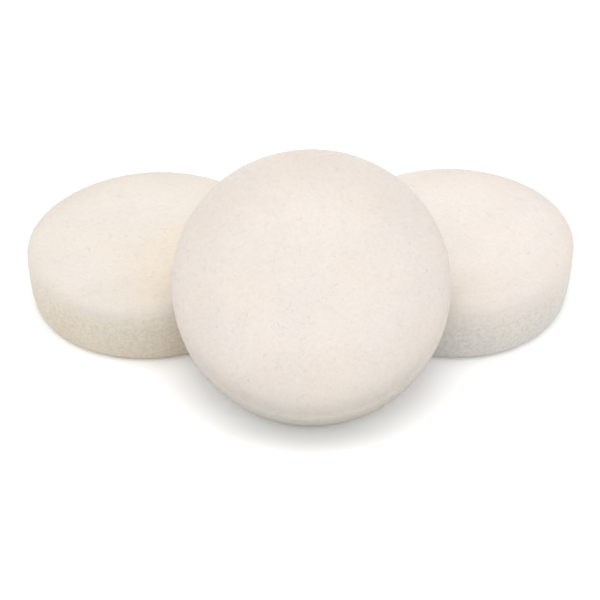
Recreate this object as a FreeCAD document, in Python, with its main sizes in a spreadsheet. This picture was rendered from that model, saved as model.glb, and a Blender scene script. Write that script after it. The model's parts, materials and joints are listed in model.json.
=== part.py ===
"""Three plain felt polishing wheels, stood as a set: two lie flat and one leans on them.

Frame: +X runs along the pair that lies flat, +Y points away from the side that the leaning
wheel faces, and +Z is up. The origin is at the bottom centre of the set's bounding box, on the
bench. Each wheel is one punched disc of pressed wool felt, with both rims rounded over and a
blind pin hole in its back. Lengths are millimetres and angles are degrees.
"""
import FreeCAD, Part
import os
import Sketcher
from FreeCAD import Vector

# alias, value, meaning
DRIVING_DIMENSIONS = [
    ("wheel_diameter", 25.4, "one inch wheel"),
    ("wheel_thickness", 6.35, "quarter inch felt"),
    ("rim_radius", 0.8, "rounding of both rims"),
    ("pin_hole_diameter", 1.5, "pilot for the screw tip of a mandrel"),
    ("pin_hole_depth", 4.5, "blind, so the polishing face stays whole"),
    ("pair_spacing", 30.2, "between the centres of the two flat wheels"),
    ("lean_angle", 35.0, "slope of the leaning wheel's faces above the bench"),
    ("lean_turn", -1.6, "turn of the leaning wheel about the vertical"),
    ("lean_offset", 1.0, "leaning wheel's centre, right of the middle of the pair"),
    ("lean_setback", 12.9, "leaning wheel's centre, in front of the pair's centre line"),
]

# How far the leaning wheel's centre stands above its lowest point, and behind its foremost one.
LEAN_RISE = (
    "((Sizes.wheel_diameter / 2 - Sizes.rim_radius) * sin(Sizes.lean_angle)"
    " + (Sizes.wheel_thickness / 2 - Sizes.rim_radius) * cos(Sizes.lean_angle) + Sizes.rim_radius)"
)
FACE_FORWARD = "(sin(Sizes.lean_angle) * cos(Sizes.lean_turn))"
LEAN_REACH = (
    f"((Sizes.wheel_diameter / 2 - Sizes.rim_radius) * sqrt(1 - {FACE_FORWARD}^2)"
    f" + (Sizes.wheel_thickness / 2 - Sizes.rim_radius) * {FACE_FORWARD} + Sizes.rim_radius)"
)
# The footprint runs from the front of the leaning wheel to the back of the pair, and its middle
# is y = 0, so the pair's centre line is this far behind the origin.
PAIR_LINE = f"(({LEAN_REACH} + Sizes.lean_setback - Sizes.wheel_diameter / 2) / 2)"

FLAT = "rotation(0; 0; 0)"
LEANING = "rotation(Sizes.lean_turn; 0; Sizes.lean_angle)"
PLACES = {
    "left_wheel": f"placement(vector(-Sizes.pair_spacing / 2; {PAIR_LINE};"
                  f" Sizes.wheel_thickness / 2); {FLAT})",
    "right_wheel": f"placement(vector(Sizes.pair_spacing / 2; {PAIR_LINE};"
                   f" Sizes.wheel_thickness / 2); {FLAT})",
    "front_wheel": f"placement(vector(Sizes.lean_offset; {PAIR_LINE} - Sizes.lean_setback;"
                   f" {LEAN_RISE}); {LEANING})",
}
FAILED_STATES = {"Invalid", "Error"}


def make_sheet(document):
    """Keep the driving dimensions in a spreadsheet, one alias to a row."""
    sheet = document.addObject("Spreadsheet::Sheet", "Sizes")
    for row, (alias, value, meaning) in enumerate(DRIVING_DIMENSIONS, start=1):
        sheet.set(f"A{row}", meaning)
        sheet.set(f"B{row}", str(value))
        sheet.setAlias(f"B{row}", alias)
    document.recompute()
    return sheet


def circle_sketch(body, name, diameter, height):
    """Draw a circle round the wheel's axis, at this height above the middle of its thickness."""
    sketch = body.newObject("Sketcher::SketchObject", name)
    plane = next(item for item in body.Origin.OriginFeatures if item.Role == "XY_Plane")
    sketch.AttachmentSupport = [(plane, "")]
    sketch.MapMode = "FlatFace"
    sketch.setExpression("AttachmentOffset.Base.z", height)
    circle = sketch.addGeometry(Part.Circle(Vector(), Vector(0, 0, 1), 1.0))
    centre, origin = (circle, 3), (-1, 1)
    sketch.addConstraint(Sketcher.Constraint("Coincident", *centre, *origin))
    size = sketch.addConstraint(Sketcher.Constraint("Diameter", circle, 2.0))
    sketch.setExpression(f"Constraints[{size}]", diameter)
    return sketch


def punch_blank(body):
    """Punch the disc out of sheet felt: its faces are half a thickness either side of the middle."""
    blank = body.newObject("PartDesign::Pad", "blank")
    blank.Profile = circle_sketch(body, "blank_outline", "Sizes.wheel_diameter", "0")
    blank.SideType = "Symmetric"
    blank.setExpression("Length", "Sizes.wheel_thickness")
    return blank


def round_rims(body, blank):
    """Round over the rim of both faces."""
    rims = [
        f"Edge{number}" for number, edge in enumerate(blank.Shape.Edges, start=1)
        if isinstance(edge.Curve, Part.Circle)
    ]
    rounding = body.newObject("PartDesign::Fillet", "rounded_rims")
    rounding.Base = (blank, rims)
    rounding.setExpression("Radius", "Sizes.rim_radius")
    return rounding


def drill_pin_hole(body):
    """Drill the blind hole for a screw mandrel, from the back face towards the polishing face."""
    hole = body.newObject("PartDesign::Hole", "pin_hole")
    hole.Profile = circle_sketch(
        body, "pin_hole_place", "Sizes.pin_hole_diameter", "-Sizes.wheel_thickness / 2"
    )
    hole.DepthType = "Dimension"
    hole.DrillPoint = "Angled"
    hole.Reversed = True
    hole.setExpression("Diameter", "Sizes.pin_hole_diameter")
    hole.setExpression("Depth", "Sizes.pin_hole_depth")
    return hole


def check_removed(before, after, feature):
    """Stop if a feature that takes felt away has taken none."""
    if after >= before:
        raise RuntimeError(f"{feature} removed nothing: {before:.3f} to {after:.3f} mm3")


def make_wheel(document, label, place):
    """Make one wheel about its own centre, polishing face up, and put it in its place."""
    body = document.addObject("PartDesign::Body", label)
    body.Label = label
    blank = punch_blank(body)
    document.recompute()
    rounding = round_rims(body, blank)
    document.recompute()
    check_removed(blank.Shape.Volume, rounding.Shape.Volume, "rounded_rims")
    hole = drill_pin_hole(body)
    body.setExpression("Placement", place)
    document.recompute()
    check_removed(rounding.Shape.Volume, hole.Shape.Volume, "pin_hole")
    return body


def check_document(document, bodies):
    """Stop if an object failed to recompute or a wheel isn't one sound solid."""
    failed = [item.Name for item in document.Objects if FAILED_STATES.intersection(item.State)]
    if failed:
        raise RuntimeError(f"failed objects: {failed}")
    for body in bodies:
        shape = body.Shape
        if shape.isNull() or not shape.isValid() or len(shape.Solids) != 1:
            raise RuntimeError(f"{body.Label} isn't one sound solid")


def main():
    document = FreeCAD.newDocument("felt_wheels")
    make_sheet(document)
    wheels = [make_wheel(document, label, place) for label, place in PLACES.items()]
    document.recompute()
    check_document(document, wheels)
    os.makedirs("parts", exist_ok=True)
    for wheel in wheels:
        wheel.Shape.exportStep(f"parts/{wheel.Label}.step")
        print(f"{wheel.Label}: {wheel.Shape.Volume:.1f} mm3")


main()
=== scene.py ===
"""Three felt polishing wheels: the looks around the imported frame.

Each wheel is a dense skin of pressed wool felt with its own slight unevenness, and a nap of
fine curly fibres lying in that skin. Lengths are metres. Places on a wheel are about its centre,
with +Z out of its polishing face, and the wheel's matrix puts them in the row's frame.
"""

import json
import math

import bpy
import numpy as np
from mathutils import Matrix, Vector, noise


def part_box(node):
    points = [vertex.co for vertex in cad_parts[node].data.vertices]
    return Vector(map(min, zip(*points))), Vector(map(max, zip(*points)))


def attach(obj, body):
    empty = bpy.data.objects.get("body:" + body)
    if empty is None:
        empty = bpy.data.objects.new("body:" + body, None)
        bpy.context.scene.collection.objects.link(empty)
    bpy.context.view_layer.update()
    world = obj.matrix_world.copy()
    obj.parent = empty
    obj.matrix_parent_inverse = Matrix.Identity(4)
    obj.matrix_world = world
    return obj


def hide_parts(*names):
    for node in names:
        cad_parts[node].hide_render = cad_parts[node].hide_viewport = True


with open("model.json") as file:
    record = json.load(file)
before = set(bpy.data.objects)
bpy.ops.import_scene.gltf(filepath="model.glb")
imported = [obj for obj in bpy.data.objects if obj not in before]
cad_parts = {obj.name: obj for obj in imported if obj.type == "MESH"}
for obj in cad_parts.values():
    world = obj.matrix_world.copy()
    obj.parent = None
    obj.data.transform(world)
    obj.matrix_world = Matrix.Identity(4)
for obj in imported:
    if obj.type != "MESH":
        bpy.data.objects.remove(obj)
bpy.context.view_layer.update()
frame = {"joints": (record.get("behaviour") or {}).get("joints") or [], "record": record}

MM = 0.001

# The wheels' sizes, from the frame: all three are alike.
FLAT_LOW, FLAT_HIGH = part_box("left_wheel")
DIAMETER = FLAT_HIGH.x - FLAT_LOW.x
THICKNESS = FLAT_HIGH.z - FLAT_LOW.z
RADIUS = DIAMETER / 2
HALF = THICKNESS / 2
MOUNTS = {mount["name"]: mount for mount in frame["record"]["mounts"]}
HOLE_RADIUS = MOUNTS["front_pin_hole"]["dims"]["r_mm"] * MM
HOLE_DEPTH = MOUNTS["front_pin_hole"]["dims"]["length_mm"] * MM

# The camera stands five wheel diameters away and looks down at the bench. Angles are degrees,
# and the lens and the sensor are millimetres.
CAMERA_ELEVATION = 39.3
CAMERA_DISTANCE = 5.0 * DIAMETER
CAMERA_TARGET = Vector((-0.05 * MM, 2.85 * MM, 0.0))
CAMERA_ROLL = -0.2
CAMERA_LENS = 73.85
CAMERA_NEAR = 5.0 * MM
SENSOR_WIDTH = 36.0


# ---------------------------------------------------------------- what sets each wheel apart

class Wheel:
    """One wheel's place, colours and unevenness.

    The face colour is that of the polishing face. The foot colour is painted shade at the
    bottom of the cut side, tinted warm or cool by painted bounce light. The rim shade darkens
    the whole rim, and a further tint paints shade on the side of the rim away from the light:
    the far side of a flat wheel, the lower side of the leaning one. The yellow spot is the
    middle of a patch of painted warm light bounced from the leaning wheel. The slope is how
    much thicker the wheel gets along x and y, from the pivot on.
    """

    def __init__(self, node, seed, face_colour, foot_shade_colour, rim_shade, soiled_way, shade_tint,
                 warm_bounce_spot=None, slope=(0.0, 0.0), pivot=(0.0, 0.0)):
        self.node, self.seed = node, seed
        self.face_colour, self.foot_shade_colour = face_colour, foot_shade_colour
        self.rim_shade, self.warm_bounce_spot = rim_shade, warm_bounce_spot
        self.soiled_way, self.shade_tint = soiled_way, shade_tint
        self.slope, self.pivot = slope, pivot


# The foot colours are painted shade, warm on the left wheel and cool on the right from painted bounce
# light.
WHEELS = (
    Wheel("left_wheel", seed=1,
          face_colour=(0.672, 0.620, 0.565), foot_shade_colour=(0.615, 0.55, 0.452), rim_shade=0.95,
          soiled_way=(-0.6, 0.8, 0), shade_tint=(0.93, 0.915, 0.905),
          warm_bounce_spot=(0.35 * RADIUS, -0.4 * RADIUS, HALF),
          slope=(-0.003, -0.021), pivot=(4.6 * MM, -11.0 * MM)),
    Wheel("right_wheel", seed=2,
          face_colour=(0.698, 0.637, 0.592), foot_shade_colour=(0.60, 0.59, 0.565), rim_shade=0.94,
          soiled_way=(0.8, 0.6, 0), shade_tint=(0.93, 0.925, 0.925),
          slope=(0.056, -0.015), pivot=(-2.8 * MM, -11.4 * MM)),
    Wheel("front_wheel", seed=3,
          face_colour=(0.668, 0.61, 0.565), foot_shade_colour=(0.50, 0.475, 0.43), rim_shade=0.90,
          soiled_way=(0, -1, 0), shade_tint=(0.865, 0.88, 0.865)),
)


def wheel_matrix(node):
    """The place of a wheel's centre, with +Z out of its polishing face."""
    low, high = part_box(node)
    axis = Vector((0, 0, 1))
    for joint in frame["joints"]:
        if joint["child"] == node and joint["name"].endswith("_lift"):
            axis = Vector(joint["axis"]).normalized()
    level = Vector((axis.z, 0, -axis.x)).normalized()
    turn = Matrix((level, axis.cross(level), axis)).transposed()
    return Matrix.Translation((low + high) / 2) @ turn.to_4x4()


# ---------------------------------------------------------------- the skin's shape

FRONT_ROUNDING = 1.0 * MM
BACK_ROUNDING = 0.8 * MM
FACE_CELLS = 150
HOLE_CELLS = 10
ARC_ROWS = 10
SIDE_ROWS = 30
WALL_ROWS = 14
# The drilled end's rings, as shares of the hole's radius, and its rise over that radius.
DRILL_RINGS = (0.66, 0.33)
DRILL_SLOPE = 0.6


def disc_grid():
    """Grid steps mapped to the unit disc, so that the square's rings become even circles."""
    steps = np.linspace(-1, 1, FACE_CELLS + 1)
    a, b = np.meshgrid(steps, steps, indexing="ij")
    wide = np.abs(a) > np.abs(b)
    major = np.where(wide, a, b)
    minor = np.where(wide, b, a)
    ratio = np.divide(minor, major, out=np.zeros_like(a), where=major != 0)
    angle = ratio * math.pi / 4
    x = np.where(wide, major * np.cos(angle), major * np.sin(angle))
    y = np.where(wide, major * np.sin(angle), major * np.cos(angle))
    return x, y, np.maximum(np.abs(a), np.abs(b))


def ring_indices(half_side, middle, index):
    """The grid's vertices round a square of this half side, anticlockwise."""
    low, high = middle - half_side, middle + half_side
    ring = [index[i, low] for i in range(low, high)]
    ring += [index[high, j] for j in range(low, high)]
    ring += [index[i, high] for i in range(high, low, -1)]
    ring += [index[low, j] for j in range(high, low, -1)]
    return np.array(ring)


class Skin:
    """Vertices, outward normals and quads of one plain wheel."""

    def __init__(self):
        self.places, self.normals, self.quads, self.count = [], [], [], 0

    def add(self, places, normals):
        first = self.count
        self.places.append(places)
        self.normals.append(normals)
        self.count += len(places)
        return np.arange(first, self.count)

    def strip(self, ring, after):
        """Quads from one anticlockwise ring to the next, which is further out, down or in."""
        on, over = np.roll(ring, -1), np.roll(after, -1)
        self.quads.append(np.stack([ring, after, over, on], 1))

    def rows(self, ring, profile):
        """Rings that follow a profile of (radius, height, normal out, normal up) round the axis."""
        start = np.concatenate(self.places)[ring]
        angle = np.arctan2(start[:, 1], start[:, 0])
        cosine, sine = np.cos(angle), np.sin(angle)
        for radius, height, out, up in profile:
            places = np.stack([radius * cosine, radius * sine, np.full_like(angle, height)], 1)
            normals = np.stack([out * cosine, out * sine, np.full_like(angle, up)], 1)
            after = self.add(places, normals)
            self.strip(ring, after)
            ring = after
        return ring


def face(skin, height, rounding, hole):
    """One flat face, out to where the rounding starts. Returns its outer and hole rings."""
    x, y, ring = disc_grid()
    flat_radius = RADIUS - rounding
    middle, half = FACE_CELLS // 2, HOLE_CELLS // 2
    keep = np.ones((FACE_CELLS + 1, FACE_CELLS + 1), bool)
    cells = np.ones((FACE_CELLS, FACE_CELLS), bool)
    scale = np.full_like(x, flat_radius)
    if hole:
        inner = half / middle
        share = np.clip((ring - inner) / (1 - inner), 0, 1)
        scale = (HOLE_RADIUS + (flat_radius - HOLE_RADIUS) * share) / np.maximum(ring, inner)
        keep[middle - half + 1:middle + half, middle - half + 1:middle + half] = False
        cells[middle - half:middle + half, middle - half:middle + half] = False
    places = np.stack([x * scale, y * scale, np.full_like(x, height)], -1)[keep]
    normals = np.zeros_like(places)
    normals[:, 2] = math.copysign(1, height)
    index = np.full(keep.shape, -1)
    index[keep] = skin.add(places, normals)
    i, j = np.nonzero(cells)
    quads = np.stack([index[i, j], index[i + 1, j], index[i + 1, j + 1], index[i, j + 1]], 1)
    skin.quads.append(quads if height > 0 else quads[:, ::-1])
    outer = ring_indices(middle, middle, index)
    mouth = ring_indices(half, middle, index) if hole else None
    return outer, mouth


def side_profile():
    """From the polishing face's edge, over the rounding, down the side and under the back."""
    for step in range(1, ARC_ROWS + 1):
        turn = math.pi / 2 * step / ARC_ROWS
        out, up = math.sin(turn), math.cos(turn)
        yield RADIUS - FRONT_ROUNDING * (1 - out), HALF - FRONT_ROUNDING * (1 - up), out, up
    top, bottom = HALF - FRONT_ROUNDING, BACK_ROUNDING - HALF
    for step in range(1, SIDE_ROWS + 1):
        yield RADIUS, top + (bottom - top) * step / SIDE_ROWS, 1, 0
    for step in range(1, ARC_ROWS):
        turn = math.pi / 2 * step / ARC_ROWS
        out, up = math.cos(turn), -math.sin(turn)
        yield RADIUS - BACK_ROUNDING * (1 - out), bottom + BACK_ROUNDING * up, out, up


def hole_profile():
    """Up the pin hole's wall and in along its drilled end."""
    for step in range(1, WALL_ROWS + 1):
        yield HOLE_RADIUS, -HALF + HOLE_DEPTH * step / WALL_ROWS, -1, 0
    for share in DRILL_RINGS:
        rise = HOLE_RADIUS * (1 - share) * DRILL_SLOPE
        yield HOLE_RADIUS * share, -HALF + HOLE_DEPTH + rise, 0, -1


def base_skin():
    """The plain wheel: places, normals, quads, and the fan that closes the hole's end."""
    skin = Skin()
    top, _ = face(skin, HALF, FRONT_ROUNDING, hole=False)
    back, mouth = face(skin, -HALF, BACK_ROUNDING, hole=True)
    skin.strip(skin.rows(top, side_profile()), back)
    end = skin.rows(mouth, hole_profile())
    tip_height = -HALF + HOLE_DEPTH + HOLE_RADIUS * DRILL_SLOPE
    tip = skin.add(np.array([[0, 0, tip_height]]), np.array([[0, 0, -1.0]]))
    fan = np.stack([np.roll(end, -1), end, np.full_like(end, tip[0])], 1)
    parts = (skin.places, skin.normals, skin.quads)
    return (*(np.concatenate(part) for part in parts), fan)


# ---------------------------------------------------------------- felt's unevenness

# (size of the lumps, height of the lumps), from the whole wheel down to knots of fibre
LUMPS = (
    (9.0 * MM, 0.10 * MM),
    (2.2 * MM, 0.018 * MM),
    (0.7 * MM, 0.005 * MM),
    (0.3 * MM, 0.002 * MM),
)
# How far apart two wheels' noise is taken, and two sizes' of one wheel.
WHEEL_SHIFT = (13.7, 3.1)
SIZE_SHIFT = 7.3

# A wheel punched from pressed sheet swells a little at its polishing face and its side. The
# crown is nearly level in the middle of the face and falls towards the rim. The bulge is the
# difference between the middle of the side and its edges, and the mean width stays the same.
CROWN = 0.16 * MM
CROWN_LEVEL = 0.6
CROWN_POWER = 4
BULGE = 0.2 * MM
MEAN_SQUARED_HEIGHT = 1 / 3


def unevenness(places, seed):
    """How far the felt stands out of the plain shape at each place."""
    rise = np.zeros(len(places))
    for number, (size, height) in enumerate(LUMPS):
        shift = Vector((seed * WHEEL_SHIFT[0], number * SIZE_SHIFT, seed * WHEEL_SHIFT[1]))
        values = [noise.noise(Vector(place) / size + shift) for place in places]
        rise += height * np.array(values)
    return rise


def displace(places, normals, seed):
    """Move each place along its normal, but leave the pin hole's wall where it is."""
    away = np.hypot(places[:, 0], places[:, 1]) / HOLE_RADIUS
    free = np.where(normals[:, 2] > 0, 1.0, np.clip(away - 1, 0, 1))
    return places + normals * (unevenness(places, seed) * free)[:, None]


def settle(places, wheel, matrix):
    """Give the wheel its punched shape: crowned face, bulging side, a sheet not equally thick.

    The felt gives way where it stands on the bench, so nothing goes through that.
    """
    x, y, z = places.T
    height = z / HALF
    out = np.hypot(x, y) / RADIUS
    wide = 1 + BULGE / RADIUS * (MEAN_SQUARED_HEIGHT - height ** 2)
    swell = CROWN * (CROWN_LEVEL - out ** CROWN_POWER) * np.clip(height, 0, 1)
    slope, pivot = wheel.slope, wheel.pivot
    thicker = (slope[0] * (x - pivot[0]) + slope[1] * (y - pivot[1])) * (height + 1) / 2
    turn, shift = np.array(matrix)[:3, :3], np.array(matrix)[:3, 3]
    world = np.column_stack([x * wide, y * wide, z + swell + thicker]) @ turn.T + shift
    world[:, 2] = np.maximum(world[:, 2], 0)
    return (world - shift) @ turn


# ---------------------------------------------------------------- the nap of fibres

STRANDS = 5000
STRAND_POINTS = 7
STRAND_LENGTH = (0.5 * MM, 1.5 * MM)
STRAND_RADIUS = (0.006 * MM, 0.012 * MM)
STRAND_LIFT = (0.0, 0.004 * MM)
STRAND_FLATNESS = 0.45
# Where the half wave that tapers a strand starts, so that its ends aren't points.
STRAND_TIP = 0.25
STRAND_CORNERS = (math.pi / 2, math.pi * 7 / 6, math.pi * 11 / 6)
# Spread of a strand's bend at each step, and of the bend's change from step to step.
CURL = 0.45
CURL_CHANGE = 0.25
# A strand arches by ARCH - SINK times its lift in the middle, and its ends lie SINK times it deep.
ARCH = 1.4
SINK = 0.4
# A few strands have one end loose, and curve away from the felt.
LOOSE_SHARE = 0.02
LOOSE_LIFT = 0.09 * MM
LOOSE_CURVE = 1.5
LOOSE_SINK = 0.2
BENCH_CLEARANCE = 0.02 * MM
# No strand starts nearer to the pin hole's axis than this many hole radii.
HOLE_MARGIN = 1.6
TINY = 1e-12


def nearest_on_wheel(places):
    """The nearest places on the plain wheel and the normals there."""
    out = np.hypot(places[:, 0], places[:, 1])
    up = places[:, 2]
    rounding = np.where(up > 0, FRONT_ROUNDING, BACK_ROUNDING)
    flat_radius, flat_height = RADIUS - rounding, HALF - rounding
    radial = places[:, :2] / np.maximum(out, TINY)[:, None]
    over = np.maximum(out - flat_radius, 0)
    past = np.maximum(np.abs(up) - flat_height, 0)
    on_face = past * (out <= flat_radius)
    reach = np.maximum(np.hypot(over, past), TINY)
    normal_out = np.where(on_face > 0, 0, over / reach)
    normal_up = np.where(on_face > 0, 1, past / reach) * np.sign(up)
    base_out = np.where(out <= flat_radius, out, flat_radius + rounding * normal_out)
    base_up = np.clip(up, -flat_height, flat_height) + rounding * normal_up
    base = np.column_stack([radial * base_out[:, None], base_up])
    normals = np.column_stack([radial * normal_out[:, None], normal_up])
    return base, normals


def scatter(rng, count):
    """Places spread evenly over the wheel's two faces and its side."""
    face_area, side_area = math.pi * RADIUS ** 2, math.pi * DIAMETER * THICKNESS
    on_side = rng.random(count) < side_area / (side_area + 2 * face_area)
    angle = rng.random(count) * 2 * math.pi
    out = np.where(on_side, RADIUS, RADIUS * np.sqrt(rng.random(count)))
    side_height = (rng.random(count) * 2 - 1) * HALF
    face_height = np.where(rng.random(count) < 0.5, HALF, -HALF)
    up = np.where(on_side, side_height, face_height)
    places = np.stack([out * np.cos(angle), out * np.sin(angle), up], 1)
    return places[~((up < 0) & ~on_side & (out < HOLE_MARGIN * HOLE_RADIUS))]


def along_surface(heading, normals):
    """The headings turned into the surface, one long."""
    heading = heading - normals * (heading * normals).sum(1)[:, None]
    return heading / np.linalg.norm(heading, axis=1)[:, None]


def strand_paths(rng, seed):
    """Curly fibres that follow the felt, sink into it at their ends and arch a little between."""
    places, normals = nearest_on_wheel(scatter(rng, STRANDS))
    count = len(places)
    heading = rng.normal(size=(count, 3))
    step = rng.uniform(*STRAND_LENGTH, count) / (STRAND_POINTS - 1)
    bend = rng.normal(0, CURL, count)
    drift = rng.normal(0, CURL_CHANGE, count)
    lift = rng.uniform(*STRAND_LIFT, count)
    loose = rng.random(count) < LOOSE_SHARE
    path, outward = [], []
    for share in np.linspace(0, 1, STRAND_POINTS):
        arch = lift * (math.sin(math.pi * share) * ARCH - SINK)
        arch = np.where(loose, LOOSE_LIFT * share ** LOOSE_CURVE - LOOSE_SINK * lift, arch)
        path.append(places + normals * arch[:, None])
        outward.append(normals)
        heading = along_surface(heading, normals)
        across = np.cross(normals, heading)
        heading = heading * np.cos(bend)[:, None] + across * np.sin(bend)[:, None]
        bend = bend + drift
        places, normals = nearest_on_wheel(places + heading * step[:, None])
    path, outward = np.stack(path, 1), np.stack(outward, 1)
    rise = unevenness(path.reshape(-1, 3), seed).reshape(count, STRAND_POINTS)
    return path + outward * rise[..., None], outward


def unit(vectors):
    return vectors / np.maximum(np.linalg.norm(vectors, axis=2, keepdims=True), TINY)


def tubes(path, outward, radius):
    """A closed three-sided tube along each path, flattened, and thinner at its ends."""
    count, points, _ = path.shape
    along = unit(np.gradient(path, axis=1))
    across = unit(np.cross(along, outward))
    over = np.cross(across, along) * STRAND_FLATNESS
    half_wave = np.sin(np.linspace(STRAND_TIP, math.pi - STRAND_TIP, points))
    taper = half_wave[None, :, None] * radius[:, None, None]
    corners = [path + taper * (across * math.cos(angle) + over * math.sin(angle))
               for angle in STRAND_CORNERS]
    places = np.stack(corners, 2).reshape(-1, 3)
    sides = len(STRAND_CORNERS)
    index = np.arange(count * points * sides).reshape(count, points, sides)
    faces = []
    for corner in range(sides):
        other = (corner + 1) % sides
        quads = np.stack([index[:, :-1, corner], index[:, 1:, corner],
                          index[:, 1:, other], index[:, :-1, other]], -1)
        faces += quads.reshape(-1, 4).tolist()
    faces += index[:, 0].tolist() + index[:, -1, ::-1].tolist()
    return places, faces


# ---------------------------------------------------------------- materials

class Nodes:
    """Short ways to add and join the nodes of one material."""

    def __init__(self, name):
        self.material = bpy.data.materials.new(name)
        self.material.use_nodes = True
        self.tree = self.material.node_tree
        self.shader = self.tree.nodes["Principled BSDF"]

    def add(self, kind, **inputs):
        node = self.tree.nodes.new(kind)
        for name, value in inputs.items():
            self.put(node.inputs[name], value)
        return node

    def put(self, socket, value):
        if isinstance(value, bpy.types.NodeSocket):
            self.tree.links.new(value, socket)
        else:
            socket.default_value = value

    def finish(self, values):
        """Set the shader's own sockets, for what is the same all over."""
        for name, value in values.items():
            self.shader.inputs[name].default_value = value

    def place(self):
        return self.add("ShaderNodeTexCoord").outputs["Object"]

    def math(self, operation, first, second):
        node = self.add("ShaderNodeMath")
        node.operation = operation
        self.put(node.inputs[0], first)
        self.put(node.inputs[1], second)
        return node.outputs[0]

    def span(self, value, low, high, to_low=0.0, to_high=1.0):
        """The value's way from low to high, smoothly, as one from to_low to to_high."""
        node = self.add("ShaderNodeMapRange")
        node.interpolation_type = "SMOOTHSTEP"
        for socket, item in zip(node.inputs, (value, low, high, to_low, to_high)):
            self.put(socket, item)
        return node.outputs[0]

    def vector(self, operation, first, second=(0, 0, 0)):
        node = self.add("ShaderNodeVectorMath")
        node.operation = operation
        self.put(node.inputs[0], first)
        self.put(node.inputs[1], second)
        return node.outputs["Value" if operation in ("LENGTH", "DOT_PRODUCT") else "Vector"]

    def scaled(self, colour, factor):
        node = self.add("ShaderNodeVectorMath")
        node.operation = "SCALE"
        self.put(node.inputs["Vector"], colour)
        self.put(node.inputs["Scale"], factor)
        return node.outputs["Vector"]

    def noise(self, place, per_mm, detail, distortion=0.0):
        return self.add("ShaderNodeTexNoise", Vector=place, Scale=per_mm / MM, Detail=detail,
                        Distortion=distortion).outputs[0]

    def mix(self, factor, first, second):
        node = self.add("ShaderNodeMix")
        node.data_type = "RGBA"
        self.put(node.inputs[0], factor)
        self.put(node.inputs[6], first)
        self.put(node.inputs[7], second)
        return node.outputs[2]


# Distances from a wheel's axis are shares of its radius, and heights are shares of half its
# thickness. Spans are (from, to), or (from, to, value at the first, value at the second).
# Painted shade down the cut side: how far out it starts, and how it grows from the face down towards
# the bench.
SIDE_SHADE_OUT = (0.88, 0.97)
SIDE_SHADE_DOWN = (1.15, -0.8)
RIM_SHADE_FROM = 0.4
# A patch of painted warm bounce light from the leaning wheel: its reach from the spot, and its tint.
BOUNCE_SPOT_SPAN = (0.25 * RADIUS, 0.85 * RADIUS, 1.0, 0.0)
BOUNCE_TINT = (1.02, 0.985, 0.92)
# Where one side of a wheel's rim is a little darker than the rest: painted shade on the side away
# from the light.
SHADED_RIM_OUT = (0.78, 1.0)
SHADED_RIM_TOWARDS = (0.3, 0.95)

# Two layers of fibre lines: shift of the noise, its lumps per millimetre, half width of a line.
LINE_LAYERS = (
    ((3 * MM, 0, 0), 1.1, 0.035),
    ((0, 7 * MM, 0), 1.7, 0.04),
)
LINE_DISTORTION = 0.6
NOISE_MIDDLE = 0.5
LINE_TONE = 0.022
LINE_HEIGHT = 0.4

MOTTLE_PER_MM = 3.2
MOTTLE_HEIGHT = 0.6
MOTTLE_ROUGHNESS = (0.3, 0.7, 0.88, 1.0)
# The mottle's dark grain is fainter on the faces than on the cut side.
GRAIN_MOTTLE = (0.35, 0.7)
GRAIN_SIDE = (0.0, 0.5, 0.2, 0.8)
GRAIN_TINT = (0.84, 0.83, 0.76)

CLOUD_PER_MM = 0.22
CLOUD_TONE = (0.3, 0.7, 0.975, 1.005)
WARMTH_PER_MM = 0.16
WARMTH_SHIFT = (0, 0, 5 * MM)
WARMTH_SPAN = (0.35, 0.65)
WARM_TINT = (1.0, 0.985, 0.97)
COOL_TINT = (0.985, 0.99, 1.0)

FIBRE_PER_MM = 1.3
FIBRE_TONE = (0.35, 0.65, 1.0, 1.1)
FIBRE_ROUGHNESS = (0.35, 0.65, 0.7, 0.85)

BUMP_STRENGTH = 0.3
BUMP_DISTANCE = 0.03 * MM

WOOL_FINISH = {
    "Specular IOR Level": 0.15,
    "Sheen Weight": 0.25,
    "Sheen Roughness": 0.5,
    "Sheen Tint": (1.0, 0.97, 0.93, 1),
}


def fibre_lines(nodes, place, shift, per_mm, width):
    """Thin curly lines, where a soft noise crosses its middle value."""
    shifted = nodes.vector("ADD", place, shift)
    value = nodes.noise(shifted, per_mm, detail=1.0, distortion=LINE_DISTORTION)
    away = nodes.math("ABSOLUTE", nodes.math("SUBTRACT", value, NOISE_MIDDLE), 0.0)
    return nodes.span(away, 0.0, width, 1.0, 0.0)


def wool_colour(nodes, place, wheel):
    """The wool's colour, greyer at the rim and with painted shade down the cut side, and how strong
    that painted shade is at each place.
    """
    away = nodes.vector("LENGTH", nodes.vector("MULTIPLY", place, (1, 1, 0)))
    out = nodes.math("DIVIDE", away, RADIUS)
    up = nodes.math("DIVIDE", nodes.vector("DOT_PRODUCT", place, (0, 0, 1)), HALF)
    # Painted shade: the cut side darkens from the face colour towards the foot colour near the bench.
    side = nodes.math("MULTIPLY", nodes.span(out, *SIDE_SHADE_OUT), nodes.span(up, *SIDE_SHADE_DOWN))
    colour = nodes.mix(side, (*wheel.face_colour, 1), (*wheel.foot_shade_colour, 1))
    # Painted warm light bounced from the leaning wheel, round the spot.
    if wheel.warm_bounce_spot:
        from_spot = nodes.vector("LENGTH", nodes.vector("SUBTRACT", place, wheel.warm_bounce_spot))
        tinted = nodes.vector("MULTIPLY", colour, BOUNCE_TINT)
        colour = nodes.mix(nodes.span(from_spot, *BOUNCE_SPOT_SPAN), colour, tinted)
    # Painted shade on the side of the rim that lies away from the light.
    along = nodes.vector("DOT_PRODUCT", place, wheel.soiled_way)
    towards = nodes.math("DIVIDE", along, RADIUS)
    soiled = nodes.math("MULTIPLY", nodes.span(out, *SHADED_RIM_OUT),
                        nodes.span(towards, *SHADED_RIM_TOWARDS))
    colour = nodes.mix(soiled, colour, nodes.vector("MULTIPLY", colour, wheel.shade_tint))
    return nodes.scaled(colour, nodes.span(out, RIM_SHADE_FROM, 1.0, 1.0, wheel.rim_shade)), side


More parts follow.
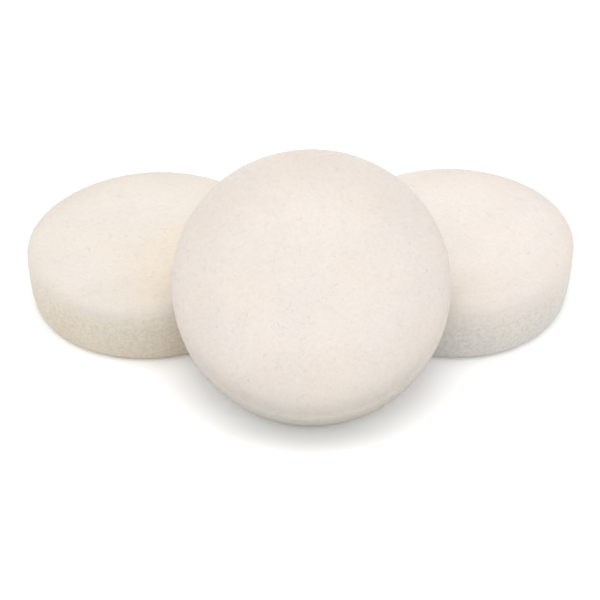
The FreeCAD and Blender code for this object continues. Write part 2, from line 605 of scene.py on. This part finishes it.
def felt_material(name, wheel):
    """Matt pressed wool: cloudy colour, fine mottle, tangled fibre lines and a soft sheen."""
    nodes = Nodes(name)
    place = nodes.place()
    colour, side = wool_colour(nodes, place, wheel)
    mottle = nodes.noise(place, MOTTLE_PER_MM, detail=3.0)
    lines = nodes.math("MAXIMUM", *(fibre_lines(nodes, place, *layer) for layer in LINE_LAYERS))

    grain = nodes.math("MULTIPLY", nodes.span(mottle, *GRAIN_MOTTLE), nodes.span(side, *GRAIN_SIDE))
    colour = nodes.mix(grain, colour, nodes.vector("MULTIPLY", colour, GRAIN_TINT))
    warmth = nodes.noise(nodes.vector("ADD", place, WARMTH_SHIFT), WARMTH_PER_MM, detail=3.0)
    tint = nodes.mix(nodes.span(warmth, *WARMTH_SPAN), (*COOL_TINT, 1), (*WARM_TINT, 1))
    colour = nodes.vector("MULTIPLY", colour, tint)
    tone = nodes.span(nodes.noise(place, CLOUD_PER_MM, detail=3.0), *CLOUD_TONE)
    tone = nodes.math("ADD", tone, nodes.math("MULTIPLY", lines, LINE_TONE))
    nodes.put(nodes.shader.inputs["Base Color"], nodes.scaled(colour, tone))

    height = nodes.math("ADD", nodes.math("MULTIPLY", mottle, MOTTLE_HEIGHT),
                        nodes.math("MULTIPLY", lines, LINE_HEIGHT))
    bump = nodes.add("ShaderNodeBump", Height=height, Strength=BUMP_STRENGTH, Distance=BUMP_DISTANCE)
    nodes.put(nodes.shader.inputs["Normal"], bump.outputs[0])
    nodes.put(nodes.shader.inputs["Roughness"], nodes.span(mottle, *MOTTLE_ROUGHNESS))
    nodes.finish(WOOL_FINISH)
    return nodes.material


def fibre_material(name, wheel):
    """Single wool fibres, some a little lighter and rougher than others."""
    nodes = Nodes(name)
    place = nodes.place()
    colour, _ = wool_colour(nodes, place, wheel)
    value = nodes.noise(place, FIBRE_PER_MM, detail=2.0)
    tone = nodes.span(value, *FIBRE_TONE)
    nodes.put(nodes.shader.inputs["Base Color"], nodes.scaled(colour, tone))
    nodes.put(nodes.shader.inputs["Roughness"], nodes.span(value, *FIBRE_ROUGHNESS))
    nodes.finish(WOOL_FINISH)
    return nodes.material


# ---------------------------------------------------------------- the pieces

def mesh_object(name, places, faces, matrix):
    mesh = bpy.data.meshes.new(name)
    mesh.from_pydata(places.tolist(), [], faces)
    mesh.update()
    mesh.shade_smooth()
    piece = bpy.data.objects.new(name, mesh)
    bpy.context.scene.collection.objects.link(piece)
    piece.matrix_world = matrix
    return piece


def build_skin(wheel, base, matrix):
    """The wheel's dense felt skin, which stands for its CAD node."""
    places, normals, quads, fan = base
    shape = settle(displace(places, normals, wheel.seed), wheel, matrix)
    skin = mesh_object(f"{wheel.node}_felt", shape, quads.tolist() + fan.tolist(), matrix)
    skin.data.materials.append(felt_material(f"{wheel.node}_wool_felt", wheel))
    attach(skin, wheel.node)
    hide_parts(wheel.node)


def build_nap(wheel, matrix):
    """The wheel's fibres, without those that would reach the bench."""
    rng = np.random.default_rng(wheel.seed)
    path, outward = strand_paths(rng, wheel.seed)
    radius = rng.uniform(*STRAND_RADIUS, len(path))
    path = settle(path.reshape(-1, 3), wheel, matrix).reshape(path.shape)
    height = path @ np.array(matrix)[2, :3] + matrix.translation.z
    clear = height.min(1) > BENCH_CLEARANCE
    nap = mesh_object(f"{wheel.node}_nap", *tubes(path[clear], outward[clear], radius[clear]), matrix)
    nap.data.materials.append(fibre_material(f"{wheel.node}_wool_fibre", wheel))
    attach(nap, wheel.node)


# ---------------------------------------------------------------- the studio

FLOOR_SIZE = 2.0
FLOOR_DROP = 0.02 * MM
FLOOR_PAPER = {
    "Base Color": (0.96, 0.96, 0.96, 1),
    "Roughness": 0.9,
    "Emission Color": (1, 1, 1, 1),
    "Emission Strength": 0.05,
}
SKY_STRENGTH = 1.12
LIGHT_PLACE = Vector((0.0, -0.01, 0.15))
LIGHT_SIZE = 0.12
LIGHT_POWER = 0.074
LIGHT_COLOUR = (1.0, 0.995, 0.985)


def make_floor():
    """A wide sheet of white paper just under the wheels, with a faint glow."""
    bpy.ops.mesh.primitive_plane_add(size=FLOOR_SIZE, location=(0, 0, -FLOOR_DROP))
    floor = bpy.context.object
    floor.name = "floor"
    paper = Nodes("floor_paper")
    paper.finish(FLOOR_PAPER)
    floor.data.materials.append(paper.material)


def make_camera():
    data = bpy.data.cameras.new("camera")
    data.lens = CAMERA_LENS
    data.sensor_width = SENSOR_WIDTH
    data.clip_start = CAMERA_NEAR
    camera = bpy.data.objects.new("camera", data)
    bpy.context.scene.collection.objects.link(camera)
    elevation = math.radians(CAMERA_ELEVATION)
    back = Vector((0, -math.cos(elevation), math.sin(elevation)))
    tilt = Matrix.Rotation(math.pi / 2 - elevation, 4, "X")
    roll = Matrix.Rotation(math.radians(CAMERA_ROLL), 4, "Z")
    camera.matrix_world = Matrix.Translation(CAMERA_TARGET + back * CAMERA_DISTANCE) @ tilt @ roll
    bpy.context.scene.camera = camera


def make_sky():
    """An even white studio dome."""
    world = bpy.data.worlds.new("studio")
    world.use_nodes = True
    background = world.node_tree.nodes["Background"]
    background.inputs["Color"].default_value = (1, 1, 1, 1)
    background.inputs["Strength"].default_value = SKY_STRENGTH
    bpy.context.scene.world = world


def make_light():
    """A broad soft disc of light overhead, aimed at the wheels."""
    data = bpy.data.lights.new("overhead", "AREA")
    data.shape = "DISK"
    data.size = LIGHT_SIZE
    data.energy = LIGHT_POWER
    data.color = LIGHT_COLOUR
    light = bpy.data.objects.new("overhead", data)
    bpy.context.scene.collection.objects.link(light)
    light.location = LIGHT_PLACE
    light.rotation_euler = (-LIGHT_PLACE).to_track_quat("-Z", "Y").to_euler()


def main():
    make_camera()
    base = base_skin()
    for wheel in WHEELS:
        matrix = wheel_matrix(wheel.node)
        build_skin(wheel, base, matrix)
        build_nap(wheel, matrix)
    make_floor()
    make_sky()
    make_light()
    bpy.context.scene.view_settings.view_transform = "Standard"


main()
